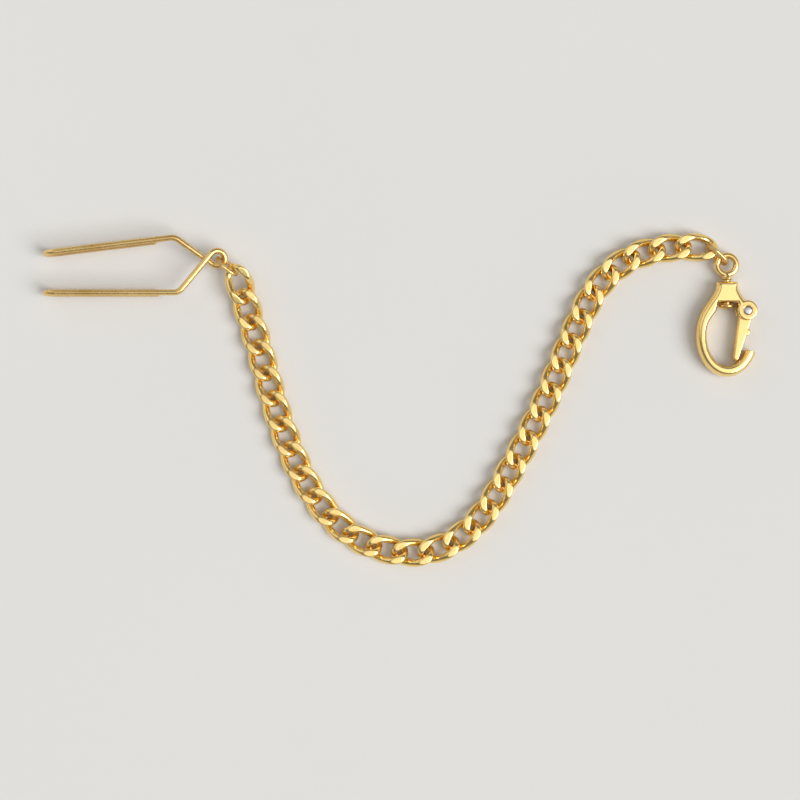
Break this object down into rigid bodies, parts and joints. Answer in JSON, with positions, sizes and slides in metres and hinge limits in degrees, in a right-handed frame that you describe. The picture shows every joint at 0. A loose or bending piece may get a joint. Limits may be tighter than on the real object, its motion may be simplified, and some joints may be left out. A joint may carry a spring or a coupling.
{
  "type": "pocket watch chain",
  "caption": "Gilt curb-link watch chain with a wire placket hook at one end and a sprung swivel clasp at the other, lying flat in the curve it hangs in.",
  "frame": {"origin": "middle of the whole part's footprint, on the surface it lies on", "axes": "+X from the placket hook to the clasp, +Y up when the chain is worn, +Z out of the cloth and off the surface it lies on"},
  "size_m": [0.1236, 0.0578, 0.005],
  "materials": {
    "gilt_chain": "polished gold plate, filed flats, worn brighter on the high shoulders",
    "gilt_wire": "drawn wire, gold plated, a little duller than the chain",
    "gilt_clasp": "cast and polished, gold plated",
    "steel": "bare spring steel"
  },
  "bodies": {
    "hook": {"placket_hook": "gilt_wire"},
    "hook_ring": {"hook_ring": "gilt_wire"},
    "link_01": {"curb_link_01": "gilt_chain"},
    "link_02": {"curb_link_02": "gilt_chain"},
    "link_03": {"curb_link_03": "gilt_chain"},
    "link_04": {"curb_link_04": "gilt_chain"},
    "link_05": {"curb_link_05": "gilt_chain"},
    "link_06": {"curb_link_06": "gilt_chain"},
    "link_07": {"curb_link_07": "gilt_chain"},
    "link_08": {"curb_link_08": "gilt_chain"},
    "link_09": {"curb_link_09": "gilt_chain"},
    "link_10": {"curb_link_10": "gilt_chain"},
    "link_11": {"curb_link_11": "gilt_chain"},
    "link_12": {"curb_link_12": "gilt_chain"},
    "link_13": {"curb_link_13": "gilt_chain"},
    "link_14": {"curb_link_14": "gilt_chain"},
    "link_15": {"curb_link_15": "gilt_chain"},
    "link_16": {"curb_link_16": "gilt_chain"},
    "link_17": {"curb_link_17": "gilt_chain"},
    "link_18": {"curb_link_18": "gilt_chain"},
    "link_19": {"curb_link_19": "gilt_chain"},
    "link_20": {"curb_link_20": "gilt_chain"},
    "link_21": {"curb_link_21": "gilt_chain"},
    "link_22": {"curb_link_22": "gilt_chain"},
    "link_23": {"curb_link_23": "gilt_chain"},
    "link_24": {"curb_link_24": "gilt_chain"},
    "link_25": {"curb_link_25": "gilt_chain"},
    "link_26": {"curb_link_26": "gilt_chain"},
    "link_27": {"curb_link_27": "gilt_chain"},
    "link_28": {"curb_link_28": "gilt_chain"},
    "link_29": {"curb_link_29": "gilt_chain"},
    "link_30": {"curb_link_30": "gilt_chain"},
    "link_31": {"curb_link_31": "gilt_chain"},
    "end_ring": {"end_ring": "gilt_wire"},
    "swivel": {"swivel_eye": "gilt_clasp"},
    "clasp": {"clasp_body": "gilt_clasp", "clasp_rivet": "steel", "clasp_spring": "steel"},
    "gate": {"clasp_gate": "gilt_clasp"}
  },
  "joints": [
    {"name": "hook_eye_swing", "type": "hinge", "parent": "hook", "child": "hook_ring", "pos_m": [-0.03142, 0.02439, 0.00359], "axis": [0, 0, 1], "range_deg": [-36, 38]},
    {"name": "hook_ring_fold", "type": "hinge", "parent": "hook_ring", "child": "link_01", "pos_m": [-0.02919, 0.02264, 0.00299], "axis": [0.6333, 0.6913, 0.3478], "range_deg": [-20, 20]},
    {"name": "end_ring_fold", "type": "hinge", "parent": "link_31", "child": "end_ring", "pos_m": [0.05422, 0.02556, 0.00201], "axis": [-0.6102, -0.7544, 0.2418], "range_deg": [-40, 40]},
    {"name": "swivel_eye_swing", "type": "hinge", "parent": "end_ring", "child": "swivel", "pos_m": [0.05633, 0.02366, 0.0014], "axis": [0, 0, -1], "range_deg": [-40, 40]},
    {"name": "clasp_swivel", "type": "hinge", "parent": "swivel", "child": "clasp", "pos_m": [0.05661, 0.02341, 0.00167], "axis": [0, -1, 0], "continuous": true},
    {"name": "gate_hinge", "type": "hinge", "parent": "clasp", "child": "gate", "pos_m": [0.06001, 0.01551, 0.00167], "axis": [0, 0, -1], "range_deg": [0, 30], "stiffness_Nm_per_rad": 0.008, "springref_deg": -34.38},
    {"name": "link_01_02_fold", "type": "hinge", "parent": "link_01", "child": "link_02", "pos_m": [-0.02705, 0.01792, 0.00195], "axis": [-0.9592, -0.2827, 0], "range_deg": [-15, 15]},
    {"name": "link_02_03_bend", "type": "hinge", "parent": "link_02", "child": "link_03", "pos_m": [-0.02577, 0.01355, 0.00134], "axis": [-0.0193, 0.0654, -0.9977], "range_deg": [-22, 22]},
    {"name": "link_03_04_fold", "type": "hinge", "parent": "link_03", "child": "link_04", "pos_m": [-0.02447, 0.00913, 0.00132], "axis": [-0.9614, -0.2751, 0], "range_deg": [-24, 24]},
    {"name": "link_04_05_bend", "type": "hinge", "parent": "link_04", "child": "link_05", "pos_m": [-0.02323, 0.0047, 0.00132], "axis": [0, 0, -1], "range_deg": [-29, 29]},
    {"name": "link_05_06_fold", "type": "hinge", "parent": "link_05", "child": "link_06", "pos_m": [-0.02203, 0.00026, 0.00132], "axis": [0.9597, 0.2811, 0], "range_deg": [-24, 24]},
    {"name": "link_06_07_bend", "type": "hinge", "parent": "link_06", "child": "link_07", "pos_m": [-0.02065, -0.00412, 0.00132], "axis": [0, 0, -1], "range_deg": [-26, 32]},
    {"name": "link_07_08_fold", "type": "hinge", "parent": "link_07", "child": "link_08", "pos_m": [-0.01905, -0.00844, 0.00132], "axis": [-0.9277, -0.3733, 0], "range_deg": [-24, 24]},
    {"name": "link_08_09_bend", "type": "hinge", "parent": "link_08", "child": "link_09", "pos_m": [-0.01722, -0.01266, 0.00132], "axis": [0, 0, 1], "range_deg": [-36, 22]},
    {"name": "link_09_10_fold", "type": "hinge", "parent": "link_09", "child": "link_10", "pos_m": [-0.01489, -0.01663, 0.00132], "axis": [0.8315, 0.5554, 0], "range_deg": [-21, 21]},
    {"name": "link_10_11_bend", "type": "hinge", "parent": "link_10", "child": "link_11", "pos_m": [-0.01211, -0.02029, 0.00132], "axis": [0, 0, 1], "range_deg": [-41, 17]},
    {"name": "link_11_12_fold", "type": "hinge", "parent": "link_11", "child": "link_12", "pos_m": [-0.00864, -0.0233, 0.00132], "axis": [-0.5599, -0.8286, 0], "range_deg": [-16, 16]},
    {"name": "link_12_13_bend", "type": "hinge", "parent": "link_12", "child": "link_13", "pos_m": [-0.00455, -0.02541, 0.00132], "axis": [0, 0, 1], "range_deg": [-43, 15]},
    {"name": "link_13_14_fold", "type": "hinge", "parent": "link_13", "child": "link_14", "pos_m": [-0.00008, -0.02649, 0.00132], "axis": [0.1145, 0.9934, 0], "range_deg": [-15, 15]},
    {"name": "link_14_15_bend", "type": "hinge", "parent": "link_14", "child": "link_15", "pos_m": [0.00452, -0.02645, 0.00132], "axis": [0, 0, 1], "range_deg": [-48, 10]},
    {"name": "link_15_16_fold", "type": "hinge", "parent": "link_15", "child": "link_16", "pos_m": [0.00887, -0.02495, 0.00132], "axis": [-0.4714, 0.8819, 0], "range_deg": [-12, 12]},
    {"name": "link_16_17_bend", "type": "hinge", "parent": "link_16", "child": "link_17", "pos_m": [0.01254, -0.02217, 0.00132], "axis": [0, 0, -1], "range_deg": [-16, 42]},
    {"name": "link_17_18_fold", "type": "hinge", "parent": "link_17", "child": "link_18", "pos_m": [0.01548, -0.01863, 0.00132], "axis": [0.819, -0.5738, 0], "range_deg": [-19, 19]},
    {"name": "link_18_19_bend", "type": "hinge", "parent": "link_18", "child": "link_19", "pos_m": [0.0178, -0.01466, 0.00132], "axis": [0, 0, -1], "range_deg": [-28, 30]},
    {"name": "link_19_20_fold", "type": "hinge", "parent": "link_19", "child": "link_20", "pos_m": [0.02003, -0.01064, 0.00132], "axis": [0.8793, -0.4763, 0], "range_deg": [-24, 24]},
    {"name": "link_20_21_bend", "type": "hinge", "parent": "link_20", "child": "link_21", "pos_m": [0.02218, -0.00657, 0.00132], "axis": [0, 0, -1], "range_deg": [-27, 31]},
    {"name": "link_21_22_fold", "type": "hinge", "parent": "link_21", "child": "link_22", "pos_m": [0.02421, -0.00245, 0.00132], "axis": [-0.9031, 0.4295, 0], "range_deg": [-24, 24]},
    {"name": "link_22_23_bend", "type": "hinge", "parent": "link_22", "child": "link_23", "pos_m": [0.02613, 0.00174, 0.00132], "axis": [0, 0, -1], "range_deg": [-27, 31]},
    {"name": "link_23_24_fold", "type": "hinge", "parent": "link_23", "child": "link_24", "pos_m": [0.02787, 0.00599, 0.00132], "axis": [0.9258, -0.378, 0], "range_deg": [-24, 24]},
    {"name": "link_24_25_bend", "type": "hinge", "parent": "link_24", "child": "link_25", "pos_m": [0.02961, 0.01025, 0.00132], "axis": [0, 0, -1], "range_deg": [-30, 28]},
    {"name": "link_25_26_fold", "type": "hinge", "parent": "link_25", "child": "link_26", "pos_m": [0.03144, 0.01447, 0.00132], "axis": [-0.9087, 0.4175, 0], "range_deg": [-24, 24]},
    {"name": "link_26_27_bend", "type": "hinge", "parent": "link_26", "child": "link_27", "pos_m": [0.03345, 0.01861, 0.00132], "axis": [0, 0, -1], "range_deg": [-42, 16]},
    {"name": "link_27_28_fold", "type": "hinge", "parent": "link_27", "child": "link_28", "pos_m": [0.03634, 0.02219, 0.00132], "axis": [0.68, -0.7332, 0], "range_deg": [-13, 13]},
    {"name": "link_28_29_bend", "type": "hinge", "parent": "link_28", "child": "link_29", "pos_m": [0.04012, 0.0248, 0.00132], "axis": [0, 0, -1], "range_deg": [-47, 11]},
    {"name": "link_29_30_fold", "type": "hinge", "parent": "link_29", "child": "link_30", "pos_m": [0.04453, 0.02613, 0.00132], "axis": [-0.1962, 0.9806, 0], "range_deg": [-18, 18]},
    {"name": "link_30_31_bend", "type": "hinge", "parent": "link_30", "child": "link_31", "pos_m": [0.0491, 0.0266, 0.00132], "axis": [0, 0, -1], "range_deg": [-38, 20]}
  ]
}
